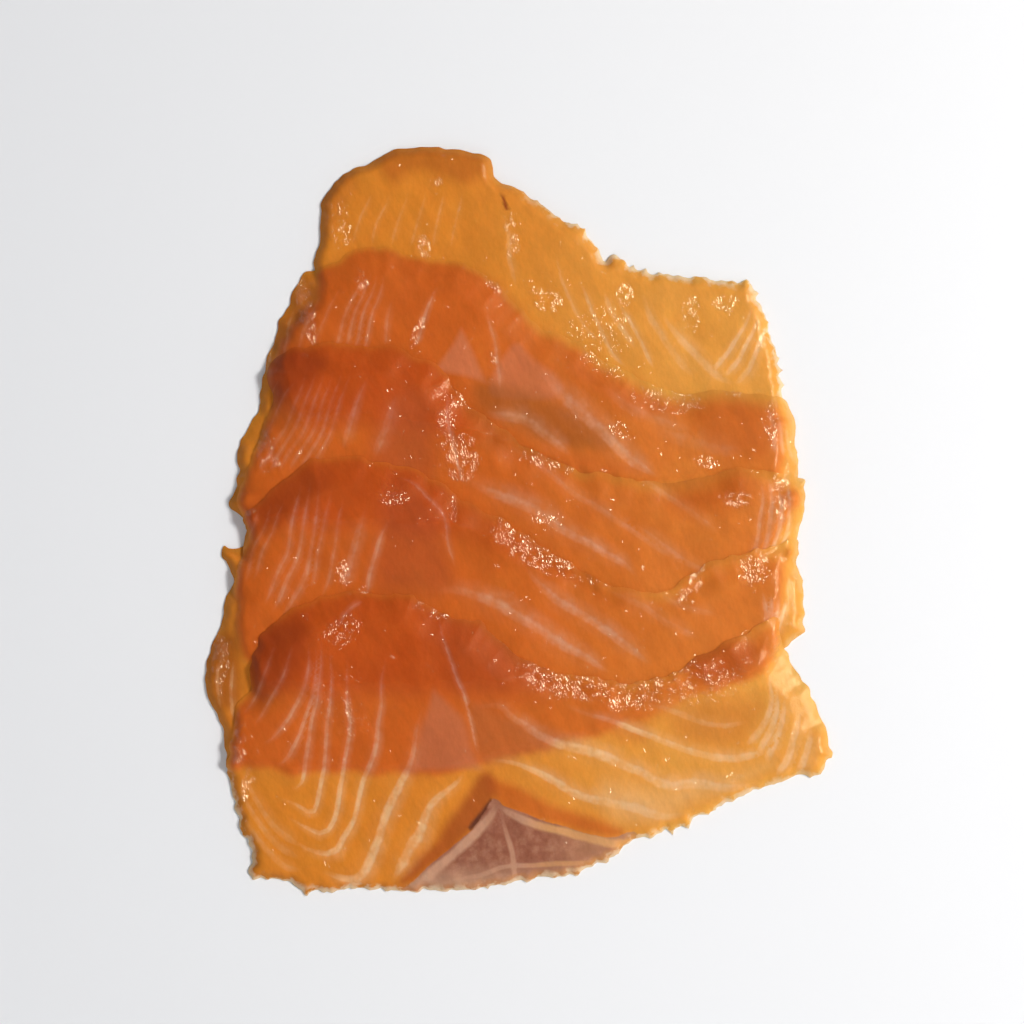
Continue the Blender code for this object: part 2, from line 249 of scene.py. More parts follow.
# Places of another colour: corners, softness of the edge, colour as a screen shows it, and strength
PATCHES = {
    "slice_1": [
        ([(-33, 89), (-12.5, 89), (-8.5, 84), (-13.5, 80.5), (-24.5, 84), (-31.5, 81)],
                2.0, (172, 86, 28), 0.55),
        ([(-5, 78), (-4.5, 78), (-3, 74.5), (-4, 74.5)], 0.35, (128, 34, 18), 0.9),
        ([(-48.5, 78), (-42.5, 85.5), (-39, 81.5), (-43.5, 73.5), (-47, 67.5)], 2.0, (186, 104, 36), 0.5),
    ],
    "slice_2": [
        ([(-14.5, 46), (-20.5, 35.5), (-8.5, 33)], 0.8, (202, 118, 82), 0.6),
        ([(-2, 42.5), (-7.5, 31), (4.5, 29), (10.5, 31.5), (3, 38)], 1.0, (200, 116, 80), 0.55),
        ([(-10, 33), (2, 31), (16.5, 24), (20.5, 17.5), (9, 18), (-3, 23), (-10.5, 28)],
                2.2, (154, 82, 32), 0.6),
        ([(41, 30), (58.5, 30), (59, 16.5), (47.5, 16.5), (40.5, 22)], 4.0, (184, 84, 28), 0.5),
        ([(-5, 18), (9, 16.5), (28.5, 13), (19, 10.5), (2, 14)], 2.0, (198, 98, 36), 0.6),
        ([(9, 42), (23.5, 32.5), (38, 27.5), (28.5, 25.5), (16.5, 31.5)], 3.0, (190, 86, 28), 0.5),
        ([(-59, 53), (-53, 60), (-48.5, 53), (-53, 42), (-60, 42)], 3.0, (158, 72, 26), 0.5),
    ],
    "slice_3": [
        ([(-62.5, 40.5), (-53, 42), (-47, 38), (-53, 30), (-62.5, 26.5)], 3.0, (146, 54, 20), 0.65),
        ([(-29.5, 31), (-23.5, 29), (-20.5, 19.5), (-22.5, 11), (-35, 12), (-34, 21.5)],
                4.0, (172, 78, 40), 0.55),
        ([(32, 12), (51, 12), (53.5, 5), (43, 2), (34.5, 5)], 4.0, (182, 80, 22), 0.55),
        ([(-15, 29), (-5, 24), (4.5, 17), (-10, 17)], 3.0, (184, 96, 34), 0.5),
    ],
    "slice_4": [
        ([(-66, 9.5), (-53, 13.5), (-46, 9.5), (-55, -0.5), (-65, -3)], 3.0, (152, 60, 22), 0.55),
        ([(-31, 9), (-23, 5.5), (-18.5, -4.5), (-17.5, -16), (-33.5, -16), (-34.5, -4.5)],
                4.0, (168, 72, 36), 0.55),
        ([(-17, 5), (-0.5, -2.5), (19, -13), (4.5, -13), (-12.5, -4.5)], 4.0, (186, 86, 28), 0.5),
        ([(-74.5, -28.5), (-68.5, -28.5), (-67.5, -43), (-72.5, -44.5), (-75, -36)],
                2.0, (170, 90, 28), 0.85),
    ],
    "slice_5": [
        ([(-65, -28.5), (-59, -23.5), (-50.5, -26), (-55, -38.5), (-63.5, -43)], 3.0, (144, 54, 20), 0.65),
        ([(-19.5, -21.5), (-0.5, -28.5), (9, -38.5), (-0.5, -43), (-17, -40.5)], 5.0, (164, 68, 28), 0.5),
        ([(-21, -41), (-26.5, -59.5), (-9.5, -59.5), (-14.5, -47)], 1.2, (180, 108, 78), 0.5),
        ([(-12.5, -44), (-0.5, -48.5), (14, -53), (2, -55.5), (-9, -58)], 1.6, (172, 94, 50), 0.5),
        ([(36, -31.5), (43, -28.5), (55.5, -29), (55.5, -35.5), (43, -39)], 3.5, (172, 72, 24), 0.7),
        ([(-8, -61.5), (4.5, -67), (24, -74), (20.5, -75.5), (7.5, -72.5), (-4.5, -69)],
                1.5, (190, 86, 28), 0.75),
        ([(-9, -60), (-6, -64.5), (-12, -74), (-25, -86), (-29.5, -87), (-23, -79), (-16, -70)],
                1.6, (166, 78, 30), 0.85),
        ([(-7.5, -66.5), (-10, -69.5), (-13, -73.5), (-12.5, -74.5), (-9, -71), (-6.5, -68)],
                0.45, (84, 44, 36), 0.9),
        ([(19, -62.5), (33, -64.5), (52.5, -60.5), (59.5, -58.5), (43, -67), (28.5, -72.5), (20.5, -70)],
                3.0, (224, 172, 112), 0.45),
        ([(19, -43), (31, -46.5), (28.5, -52.5), (16.5, -50.5)], 3.5, (190, 92, 30), 0.5),
        ([(34, -44), (50, -42), (57, -45), (52, -54), (38, -53)], 4.0, (200, 118, 44), 0.65),
    ],
}

# Wet, rough places that glitter: centre, half sizes along X and Y, turn in degrees, and strength
WET = {
    "slice_1": [
        ((-23.5, 65.5), 1.5, 3.5, 5, 0.8),
        ((-2, 66), 1.5, 3.5, -10, 1),
        ((-20.5, 81), 2.0, 2.0, 0, 0.5),
        ((-3, 71.5), 1.5, 2.5, -20, 0.7),
        ((5.5, 53), 4.5, 3.0, -30, 0.7),
        ((24.5, 54), 2.0, 3.0, 0, 0.9),
        ((40.5, 49.5), 2.0, 4.5, 0, 0.9),
        ((49, 52), 3.5, 2.0, 0, 0.9),
        ((-43.5, 71), 3.5, 7.0, 10, 0.4),
        ((19, 45.5), 9.5, 7.0, 0, 0.35),
        ((57, 45.5), 2.5, 7.0, 0, 0.25),
    ],
    "slice_2": [
        ((-38.5, 57.5), 1.5, 3.5, 20, 0.7),
        ((-51.5, 50.5), 2.0, 8.0, 10, 0.8),
        ((-25, 45), 1.0, 4.0, -22, 1),
        ((-7, 36.5), 1.5, 3.5, 0, 0.9),
        ((-6.5, 57), 3.0, 2.0, -40, 0.7),
        ((19, 37.5), 5.5, 2.5, -30, 0.8),
        ((34.5, 29), 8.5, 3.0, -10, 0.9),
        ((23.5, 21.5), 3.5, 2.0, -30, 0.7),
        ((44, 14), 3.0, 1.5, -20, 1),
        ((51, 32.5), 3.5, 2.5, 0, 0.8),
        ((-60.5, 41), 2.0, 7.0, 0, 0.6),
        ((59.5, 24), 2.0, 6.0, 0, 0.7),
    ],
    "slice_3": [
        ((-15.5, 29), 4.0, 2.0, -20, 1),
        ((-18, 22), 2.5, 5.0, 0, 1),
        ((-14.5, 15), 4.0, 5.5, 0, 1),
        ((7, 15.5), 8.0, 3.5, -20, 1),
        ((-60.5, 15.5), 2.5, 6.0, 10, 0.8),
        ((-63, 24), 1.5, 6.0, 0, 0.6),
        ((5.5, 0), 5.0, 2.5, -30, 0.5),
        ((28.5, 12), 7.0, 2.0, 0, 0.5),
        ((62, 8), 2.0, 8.5, 0, 1),
        ((51, 5), 3.5, 2.5, 0, 0.6),
    ],
    "slice_4": [
        ((-16.5, 2.5), 1.0, 3.5, 0, 1),
        ((4.5, -6), 11.5, 5.5, -25, 1),
        ((-42.5, -12.5), 2.0, 3.0, 10, 0.9),
        ((-30.5, 5.5), 3.5, 2.0, 0, 0.7),
        ((19, -13), 6.0, 3.0, 0, 0.6),
        ((41.5, -12), 2.0, 4.5, 0, 1),
        ((54.5, -12), 3.0, 3.5, 0, 1),
        ((57.5, -11.5), 1.5, 3.5, 0, 0.9),
        ((39, -18.5), 2.0, 2.5, 0, 1),
        ((-72, -33.5), 2.0, 8.0, 0, 0.9),
        ((-65, 5), 2.0, 7.0, 0, 0.5),
        ((-37.5, -17.5), 1.5, 2.0, 0, 0.8),
    ],
    "slice_5": [
        ((-19.5, -22), 3.0, 1.5, 0, 1),
        ((-24.5, -20.5), 1.0, 1.5, 0, 0.8),
        ((9, -38.5), 10.5, 3.5, -15, 0.9),
        ((25, -40.5), 8.0, 4.5, -15, 0.9),
        ((22.5, -44.5), 1.5, 1.5, 0, 1),
        ((-65.5, -63.5), 1.5, 4.5, -10, 1),
        ((-42.5, -26), 5.5, 3.5, 30, 0.6),
        ((-41.5, -46), 1.0, 6.0, 5, 0.8),
        ((-42.5, -43), 9.5, 12.0, 0, 0.25),
        ((61.5, -28.5), 2.0, 6.5, -15, 0.5),
        ((50.5, -61.5), 2.0, 1.0, 0, 1),
        ((34.5, -57), 1.0, 1.0, 0, 0.9),
        ((40.5, -38.5), 14.5, 6.0, 0, 0.5),
        ((28.5, -31), 7.0, 2.5, 15, 0.7),
        ((-67.5, -52.5), 2.0, 7.0, 0, 0.6),
    ],
}


# ---------------------------------------------------------------- small numeric tools

def smooth_step(values, low, high):
    """0 below low, 1 above high and a smooth rise between."""
    share = np.clip((values - low) / (high - low), 0, 1)
    return share * share * (3 - 2 * share)


def noise(points, cell, seed):
    """Smooth noise from -1 to 1 that changes over one cell."""
    table = np.random.default_rng(seed).uniform(-1, 1, (NOISE_CELLS, NOISE_CELLS))
    place = points / cell
    corner = np.floor(place).astype(int)
    share = place - corner
    share = share * share * (3 - 2 * share)
    i, j = corner.T % NOISE_CELLS
    next_i, next_j = (corner.T + 1) % NOISE_CELLS
    u, v = share.T
    low = table[i, j] * (1 - u) + table[next_i, j] * u
    high = table[i, next_j] * (1 - u) + table[next_i, next_j] * u
    return low * (1 - v) + high * v


def curve_through(points, step, closed=False):
    """Points about `step` apart on the Catmull-Rom curve through the given points."""
    knots = np.asarray(points, float)
    if closed:
        path = np.vstack([knots[-1:], knots, knots[:2]])
    else:
        path = np.vstack([2 * knots[0] - knots[1], knots, 2 * knots[-1] - knots[-2]])
    samples = []
    for before, start, end, after in zip(path, path[1:], path[2:], path[3:]):
        count = max(1, round(np.linalg.norm(end - start) / step))
        t = (np.arange(count) / count)[:, None]
        samples.append(0.5 * (
            2 * start
            + (end - before) * t
            + (2 * before - 5 * start + 4 * end - after) * t ** 2
            + (3 * start - before - 3 * end + after) * t ** 3
        ))
    if not closed:
        samples.append(knots[-1:])
    return np.vstack(samples)


def inside(points, loop):
    """Which points lie inside a closed loop."""
    x, y = points.T
    within = np.zeros(len(points), bool)
    for (ax, ay), (bx, by) in zip(loop, np.roll(loop, -1, axis=0)):
        if ay != by:
            crosses = (ay > y) != (by > y)
            within ^= crosses & (x < ax + (y - ay) * (bx - ax) / (by - ay))
    return within


def nearest_on(points, path, reach):
    """Distance from points to an open path, how far along the path, from 0 to 1, and on which side.

    Points farther away than reach are given the reach as their distance.
    """
    distance = np.full(len(points), float(reach))
    along = np.zeros(len(points))
    side = np.ones(len(points))
    count = len(path) - 1
    chunk = 8
    for first in range(0, count, chunk):
        last = min(first + chunk, count)
        stretch = path[first:last + 1]
        near = np.all((points > stretch.min(0) - reach) & (points < stretch.max(0) + reach), axis=1)
        near = np.flatnonzero(near)
        local = points[near]
        for index in range(first, last):
            start = path[index]
            run = path[index + 1] - start
            offset = local - start
            share = np.clip(offset @ run / (run @ run), 0, 1)
            gap = offset - share[:, None] * run
            length = np.hypot(gap[:, 0], gap[:, 1])
            closer = length < distance[near]
            chosen = near[closer]
            distance[chosen] = length[closer]
            along[chosen] = (index + share[closer]) / count
            side[chosen] = np.sign(run[0] * offset[closer, 1] - run[1] * offset[closer, 0])
    return distance, along, side


def loop_distance(points, loop, reach):
    """Distance from points to a closed loop."""
    return nearest_on(points, np.vstack([loop, loop[:1]]), reach)[0]


# ---------------------------------------------------------------- outlines

def node_outline(node):
    """A CAD node's outline seen from above: the edges that only one of its upward faces has, end to end."""
    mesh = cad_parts[node].data
    places = [tuple(round(value / MM, 3) for value in vertex.co.xy) for vertex in mesh.vertices]
    edges = set()
    for face in mesh.polygons:
        if face.normal.z > UPRIGHT:
            corners = [places[index] for index in face.vertices]
            edges.update(zip(corners, corners[1:] + corners[:1]))
    following = {start: end for start, end in edges if (end, start) not in edges}
    loop = [min(following)]
    while following[loop[-1]] != loop[0]:
        loop.append(following[loop[-1]])
    return thinned(np.array(loop), KEPT_STEP)


def thinned(loop, step):
    """The loop without points nearer than a step to the last one kept."""
    kept = [loop[0]]
    for point in loop[1:]:
        if np.linalg.norm(point - kept[-1]) >= step:
            kept.append(point)
    if np.linalg.norm(kept[-1] - kept[0]) < step:
        kept.pop()
    return np.array(kept)


def torn_share(name, points):
    """How torn the rim is, from 0 to 1: most at the last slice's skin side and the first slice's belly."""
    x, y = points.T
    if name == "slice_5":
        return smooth_step(-y, 50, 70)
    if name == "slice_1":
        return smooth_step(x, -8, 15)
    return smooth_step(x, 55, 62) * 0.25


def ragged(name, loop, seed):
    """The loop with soft dents and, where the rim is torn, small teeth."""
    ahead = np.roll(loop, -1, axis=0) - np.roll(loop, 1, axis=0)
    outward = np.stack([ahead[:, 1], -ahead[:, 0]], axis=1)
    outward /= np.linalg.norm(outward, axis=1)[:, None]
    torn = torn_share(name, loop)
    lumpy = 1 - torn
    push = (0.4 + 0.4 * lumpy) * noise(loop, 5, seed) + 0.45 * lumpy * noise(loop, 2, seed + 1)
    teeth = (1 - np.abs(noise(loop, 3.1, seed + 2))) ** 4 * (0.6 + 0.8 * noise(loop, 7, seed + 3))
    push += torn * (1.5 * teeth + 0.45 * noise(loop, 1.3, seed + 4) - 0.5)
    return loop + outward * push[:, None]


# ---------------------------------------------------------------- fields over the whole stack

class Grid:
    """Square cells over the whole stack, on which heights and layers are kept."""

    def __init__(self, box):
        low, high = box
        self.low = np.array([low.x, low.y]) / MM - GRID_MARGIN
        high = np.array([high.x, high.y]) / MM + GRID_MARGIN
        self.shape = tuple(int(count) for count in np.ceil((high - self.low) / GRID_STEP) + 1)
        i, j = np.meshgrid(np.arange(self.shape[0]), np.arange(self.shape[1]), indexing="ij")
        self.points = self.low + GRID_STEP * np.stack([i.ravel(), j.ravel()], axis=1)

    def sample(self, values, points):
        """Values on the grid, read between its corners."""
        place = (points - self.low) / GRID_STEP
        corner = np.clip(np.floor(place).astype(int), 0, np.array(self.shape) - 2)
        u, v = (place - corner).T
        i, j = corner.T
        low = values[i, j] * (1 - u) + values[i + 1, j] * u
        high = values[i, j + 1] * (1 - u) + values[i + 1, j + 1] * u
        return low * (1 - v) + high * v


def spread(values, radius, combine):
    """Each cell combined with its neighbours up to a radius, first along one axis and then the other."""
    for axis in (0, 1):
        values = combine([np.roll(values, shift, axis) for shift in range(-radius, radius + 1)])
    return values


def averaged(stack):
    return np.mean(stack, axis=0)


def blanket(heights, rim):
    """The surface that a slice rests on: it eases off every step below it, and lies close at its rim."""
    eased = heights
    for radius in EASING_CELLS:
        eased = np.maximum(eased, spread(eased, radius, averaged))
    rest = heights + (eased - heights) * smooth_step(rim, 0, PRESSED_WIDTH)
    return rest + CONTACT_GAP * smooth_step(rest, 0, 0.2)


def rim_field(grid, loop):
    """Distance to a slice's rim at each cell, negative outside."""
    distance = loop_distance(grid.points, loop, RIM_REACH)
    return np.where(inside(grid.points, loop), distance, -distance).reshape(grid.shape)


def feathering(name, rim):
    """Where the nearest rim is thin: the far side of every slice but the first, where the knife ran out."""
    if name == NAMES[0]:
        return np.zeros(rim.shape)
    away = spread(-np.gradient(rim, GRID_STEP, axis=1), 4, averaged)
    return smooth_step(away, 0.1, 0.6)


def thickness_field(grid, name, rim, seed):
    """A slice's thickness at each cell, with its soft swells."""
    rounded = np.sin(np.clip(rim / ROUND_WIDTH, 0, 1) * math.pi / 2)
    feathered = smooth_step(rim, -1.0, FEATHER_WIDTH)
    full = rounded + (feathered - rounded) * feathering(name, rim)
    (broad, broad_cell), (small, small_cell) = SWELLS
    swell = broad * noise(grid.points, broad_cell, seed) + small * noise(grid.points, small_cell, seed + 1)
    return RIM_THICKNESS + (THICKNESS - RIM_THICKNESS + swell.reshape(grid.shape)) * full


def layer_share(grid, name, rim):
    """How much of a slice the eye meets at each cell: none outside, rising inward from the rim. It weighs
    the painted see-through colour, so thin rims are painted paler.
    """
    belly = smooth_step(grid.points[:, 0], BACK_END_X, BELLY_START_X).reshape(grid.shape)
    thin = belly * feathering(name, rim)
    start = 0.4 - 0.3 * thin
    share = np.where(rim > 0, start + (1 - start) * smooth_step(rim, 0, 1.6 + 3.6 * thin), 0.0)
    return spread(share, 1, averaged)


# ---------------------------------------------------------------- one slice's mesh

def filled(loop, rim, grid, seed):
    """Vertices and triangles that fill a loop evenly."""
    low = loop.min(0)
    high = loop.max(0)
    row_step = MESH_STEP * math.sqrt(3) / 2
    columns = int((high[0] - low[0]) / MESH_STEP) + 2
    rows = int((high[1] - low[1]) / row_step) + 2
    i, j = np.meshgrid(np.arange(columns), np.arange(rows), indexing="ij")
    x = low[0] + MESH_STEP * (i + (j % 2) / 2)
    y = low[1] + row_step * j
    points = np.stack([x.ravel(), y.ravel()], axis=1)
    points = points + np.random.default_rng(seed).uniform(-MESH_SHAKE, MESH_SHAKE, points.shape)
    points = points[grid.sample(rim, points) > RIM_CLEARANCE]
    area = np.sum(loop[:, 0] * np.roll(loop[:, 1], -1) - np.roll(loop[:, 0], -1) * loop[:, 1])
    border = loop if area > 0 else loop[::-1]
    vectors = [Vector(point) for point in np.vstack([points, border])]
    border_indices = list(range(len(points), len(vectors)))
    vertices, _, faces, _, _, sources = delaunay_2d_cdt(vectors, [], [border_indices], 0, 0.01, True)
    kept = [face for face, source in zip(faces, sources) if source]
    used = sorted({index for face in kept for index in face})
    renumber = {index: number for number, index in enumerate(used)}
    flat = np.array([vertices[index][:] for index in used])
    return flat, np.array([[renumber[index] for index in face] for face in kept])


def rim_edges(faces):
    """The directed edges that only one triangle has."""
    edges = np.vstack([faces[:, [0, 1]], faces[:, [1, 2]], faces[:, [2, 0]]])
    known = {tuple(edge) for edge in edges.tolist()}
    return np.array([edge for edge in known if (edge[1], edge[0]) not in known])


def closed_mesh(name, flat, faces, low, high):
    """A closed mesh between a lower and an upper height at the same points."""
    count = len(flat)
    bottom = np.column_stack([flat, low])
    top = np.column_stack([flat, high])
    border = rim_edges(faces)
    walls = np.column_stack([border[:, 0], border[:, 1], border[:, 1] + count, border[:, 0] + count])
    corners = np.vstack([faces + count, faces[:, ::-1]])
    mesh = bpy.data.meshes.new(name)
    vertices = np.vstack([bottom, top]) * MM
    mesh.vertices.add(len(vertices))
    mesh.vertices.foreach_set("co", vertices.ravel())
    loops = np.concatenate([corners.ravel(), walls.ravel()])
    starts = np.concatenate([
        np.arange(len(corners)) * 3,
        len(corners) * 3 + np.arange(len(walls)) * 4,
    ])
    mesh.loops.add(len(loops))
    mesh.loops.foreach_set("vertex_index", loops.astype(np.int32))
    mesh.polygons.add(len(starts))
    mesh.polygons.foreach_set("loop_start", starts.astype(np.int32))
    mesh.update(calc_edges=True)
    mesh.shade_smooth()
    ends = np.empty(len(mesh.edges) * 2, np.int32)
    mesh.edges.foreach_get("vertices", ends)
    on_rim = np.zeros(count * 2, bool)
    on_rim[border.ravel()] = True
    on_rim[border.ravel() + count] = True
    sharp = mesh.attributes.new("sharp_edge", "BOOLEAN", "EDGE")
    sharp.data.foreach_set("value", on_rim[ends].reshape(-1, 2).all(axis=1))
    return mesh


def set_attribute(mesh, name, bottom, top=None):
    """A value for each vertex of the bottom and of the top, which are the same unless both are given."""
    attribute = mesh.attributes.new(name, "FLOAT", "POINT")
    values = np.concatenate([bottom, bottom if top is None else top])
    attribute.data.foreach_set("value", values.astype(np.float32))


# ---------------------------------------------------------------- the grain at every vertex

def grain(points, bands):
    """For each point the nearest fat band: distance over the half width, its side, and its strength."""
    near = np.full(len(points), GRAIN_REACH)
    side = np.ones(len(points))
    strength = np.zeros(len(points))
    for knots, band_width, band_strength in bands:
        path = curve_through(knots, CURVE_STEP)
        distance, along, path_side = nearest_on(points, path, GRAIN_REACH)
        start, end = np.broadcast_to(band_width, 2)
        taper = smooth_step(along, 0.0, 0.35) * smooth_step(1 - along, 0.0, 0.18)
        width = (start + (end - start) * along) * (0.45 + 0.55 * taper)
        closer = distance / width < near
        near[closer] = (distance / width)[closer]
        side[closer] = path_side[closer]
        strength[closer] = (band_strength * taper)[closer]
    return near, side, strength


def patch_depth(points, corners):
    """How far inside a patch's outline a point lies; negative outside. Up to four corners stay sharp."""
    rounded = len(corners) > 4
    loop = curve_through(corners, CURVE_STEP, closed=True) if rounded else np.array(corners, float)
    distance = loop_distance(points, loop, PATCH_REACH)
    return np.where(inside(points, loop), distance, -distance)


def patch_tint(points, patches):
    """The colour that the patches lay over each point, and how strongly, as rows of four."""
    tint = np.zeros((len(points), 4))
    for corners, softness, colour, strength in patches:
        share = strength * smooth_step(patch_depth(points, corners), -softness, softness)[:, None]
        tint[:, :3] = tint[:, :3] * (1 - share) + np.array(linear(*colour)[:3]) * share
        tint[:, 3:] = tint[:, 3:] * (1 - share) + share
    tint[:, :3] /= np.maximum(tint[:, 3:], 0.001)
    return tint


def wetness(points, places):
    """How rough and wet the surface is at each point, from 0 to 1."""
    wet = np.zeros(len(points))
    for centre, half_x, half_y, turn, strength in places:
        cos, sin = math.cos(math.radians(turn)), math.sin(math.radians(turn))
        x, y = (points - np.array(centre)).T
        across = (x * cos + y * sin) / half_x
        along = (y * cos - x * sin) / half_y
        wet = np.maximum(wet, strength * (1 - smooth_step(np.hypot(across, along), 0.5, 1.4)))
    return wet


def wobble(points, seed):
    """Points moved a little, so that no band runs too evenly."""
    return points + 0.6 * np.stack([noise(points, 7, seed), noise(points, 7, seed + 1)], axis=1)


# ---------------------------------------------------------------- building the slices

def build_outlines():
    """Every slice's ragged outline, closer together than the corners of the fine mesh."""
    outlines = {}
    for number, name in enumerate(NAMES):
        smooth = curve_through(node_outline(name), MESH_STEP, closed=True)
        outlines[name] = ragged(name, smooth, OUTLINE_SEED + 10 * number)
    return outlines


def layers_over(grid, flat, shares, name, others):
    """How many of the other slices lie over or under each point, softer the more slices lie between. It
    deepens the painted see-through colour.
    """
    layers = np.zeros(len(flat))
    for other in others:
        between = abs(NAMES.index(other) - NAMES.index(name)) - 1
        softened = spread(shares[other], 1 + 4 * between, averaged)
        layers += grid.sample(softened, flat) * (0.8 if between else 1.0)
    return layers


def painted_rim_shade(grid, flat, shares, name):
    """Painted shade: a deeper colour that spreads out onto this slice from under the next slice's rim, most
    at the belly.
    """
    if name == NAMES[-1]:
        return np.zeros(len(flat))
    following = NAMES[NAMES.index(name) + 1]
    softened = spread(spread(shares[following], RIM_SHADE_CELLS, averaged), RIM_SHADE_CELLS, averaged)
    belly = smooth_step(flat[:, 0], BACK_END_X, BELLY_START_X)
    return grid.sample(softened, flat) * (0.3 + 0.6 * belly)


def build_slice(name, seed, outlines, grid, heights, rims, shares):
    """One slice's mesh, draped over the heights so far, which it then raises."""
    flat, faces = filled(outlines[name], rims[name], grid, seed)
    rest = blanket(heights, rims[name])
    body = thickness_field(grid, name, rims[name], seed + 1)
    low = grid.sample(rest, flat)
    thick = grid.sample(body, flat)
    moved = wobble(flat, seed + 3)
    near, side, strength = grain(moved, FAT[name])
    wet = wetness(flat, WET[name])
    groove = FAT_GROOVE * strength * (1 - smooth_step(near, 0, 1.5))
    pits = WET_PITS * wet * (1 + noise(flat, 1.3, seed + 5))
    high = low + thick - (groove + pits) * smooth_step(thick, 0.2, 1.0)

    mesh = closed_mesh(name, flat, faces, low, high)
    under = layers_over(grid, flat, shares, name, [other for other in NAMES if other < name])
    over = layers_over(grid, flat, shares, name, [other for other in NAMES if other > name])
    own = grid.sample(shares[name], flat)
    # painted shade beside the rim of the slice that lies over this one
    rim_shade = painted_rim_shade(grid, flat, shares, name)
    frame_near, _, frame_strength = grain(moved, MUSCLE_FAT)
    last = float(name == NAMES[-1])
    muscle = patch_depth(moved, DARK_MUSCLE) * last - PATCH_REACH * (1 - last)
    # painted see-through: the more layers lie over or under a point, the deeper its colour
    set_attribute(mesh, "depth", own + over, own + under + rim_shade)
    set_attribute(mesh, "layers_behind", over, under)
    set_attribute(mesh, "rim", np.maximum(grid.sample(rims[name], flat), 0))
    set_attribute(mesh, "torn", torn_share(name, flat))
    set_attribute(mesh, "fat_near", near)
    set_attribute(mesh, "fat_side", side * near)
    set_attribute(mesh, "fat_strength", strength)
    set_attribute(mesh, "wet", wet)
    set_attribute(mesh, "muscle", muscle)
    set_attribute(mesh, "frame_near", frame_near)
    set_attribute(mesh, "frame_strength", frame_strength * last)
    tint = np.tile(patch_tint(moved, PATCHES[name]), (2, 1)).astype(np.float32)
    mesh.attributes.new("tint", "FLOAT_COLOR", "POINT").data.foreach_set("color", tint.ravel())

    piece = bpy.data.objects.new("salmon_" + name, mesh)
    bpy.context.scene.collection.objects.link(piece)
    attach(piece, "root")
    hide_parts(name)
    return piece, np.where(rims[name] > -GRID_STEP, rest + body, heights)


# ---------------------------------------------------------------- materials

def linear(red, green, blue):
    """A colour given as a screen shows it, 0 to 255, turned into the shader's linear values."""
    values = []
    for value in (red, green, blue):
        share = value / 255
        values.append(share / 12.92 if share <= 0.04045 else ((share + 0.055) / 1.055) ** 2.4)
    return (*values, 1.0)


class Nodes:
    """Short ways to add and join a material's or the world's nodes."""

    def __init__(self, material):
        material.use_nodes = True
        self.tree = material.node_tree
        self.shader = self.tree.nodes.get("Principled BSDF")

    def add(self, kind, **settings):
        node = self.tree.nodes.new(kind)
        for key, value in settings.items():
            setattr(node, key, value)
        return node

    def plug(self, value, socket):
        if isinstance(value, bpy.types.NodeSocket):
            self.tree.links.new(value, socket)
        else:
            socket.default_value = value

    def math(self, operation, first, second=0.0, third=0.0, clamp=False):
        node = self.add("ShaderNodeMath", operation=operation, use_clamp=clamp)
        self.plug(first, node.inputs[0])
        self.plug(second, node.inputs[1])
        self.plug(third, node.inputs[2])
        return node.outputs[0]

    def attribute(self, name):
        return self.add("ShaderNodeAttribute", attribute_name=name).outputs["Fac"]

    def step(self, value, low, high, to_low=0.0, to_high=1.0):
        """A smooth change from one value to another as the input goes from low to high."""
        node = self.add("ShaderNodeMapRange", interpolation_type="SMOOTHSTEP")
        self.plug(value, node.inputs["Value"])
        self.plug(low, node.inputs["From Min"])
        self.plug(high, node.inputs["From Max"])
        self.plug(to_low, node.inputs["To Min"])
        self.plug(to_high, node.inputs["To Max"])
        return node.outputs["Result"]

    def mix(self, factor, first, second, blend="MIX"):
        node = self.add("ShaderNodeMix", data_type="RGBA", blend_type=blend)
        self.plug(factor, node.inputs["Factor"])
        self.plug(first, node.inputs["A"])
        self.plug(second, node.inputs["B"])
        return node.outputs["Result"]

    def ramp(self, value, stops):
        node = self.add("ShaderNodeValToRGB")
        elements = node.color_ramp.elements
        for position, colour in stops[2:]:
            elements.new(position)
        for element, (position, colour) in zip(elements, sorted(stops)):
            element.position = position
            element.color = colour
        self.plug(value, node.inputs["Fac"])
        return node.outputs["Color"]

    def scaled_position(self, scale, turn=0.0):
        """Object coordinates turned about Z, in degrees, and then scaled."""
        coordinates = self.add("ShaderNodeTexCoord").outputs["Object"]
        mapping = self.add("ShaderNodeMapping", vector_type="TEXTURE")
        self.plug(coordinates, mapping.inputs["Vector"])
        mapping.inputs["Rotation"].default_value = (0.0, 0.0, math.radians(turn))
        mapping.inputs["Scale"].default_value = [1 / factor for factor in scale]
        return mapping.outputs["Vector"]

    def noise(self, vector, scale, detail=2.0, roughness=0.5):
        node = self.add("ShaderNodeTexNoise")
        self.plug(vector, node.inputs["Vector"])
        node.inputs["Scale"].default_value = scale
        node.inputs["Detail"].default_value = detail
        node.inputs["Roughness"].default_value = roughness
        return node.outputs["Fac"]

    def bump(self, height, distance, normal=None):
        """A normal bent by a height, on top of another normal if one is given. Distances are in metres."""
        node = self.add("ShaderNodeBump")
        node.inputs["Distance"].default_value = distance
        self.plug(height, node.inputs["Height"])
        if normal is not None:
            self.plug(normal, node.inputs["Normal"])
        return node.outputs["Normal"]


# Colours of the flesh by its share of the deepest stack of layers, at the fish's back and at its belly:
# painted see-through, deeper and redder over more layers, standing in for the floor's light that comes up
# through fewer of them
BACK_STOPS = [
    (0.0, linear(216, 152, 62)), (0.30, linear(214, 128, 40)), (0.36, linear(213, 126, 40)),
    (0.64, linear(199, 94, 30)), (1.0, linear(183, 72, 20)),
]
BELLY_STOPS = [
    (0.0, linear(228, 174, 98)), (0.30, linear(222, 150, 64)), (0.36, linear(221, 147, 60)),
    (0.64, linear(208, 114, 42)), (1.0, linear(192, 88, 24)),
]
MUSCLE_STOPS = [(0.3, linear(138, 80, 60)), (0.5, linear(152, 94, 72)), (0.7, linear(172, 116, 90))]


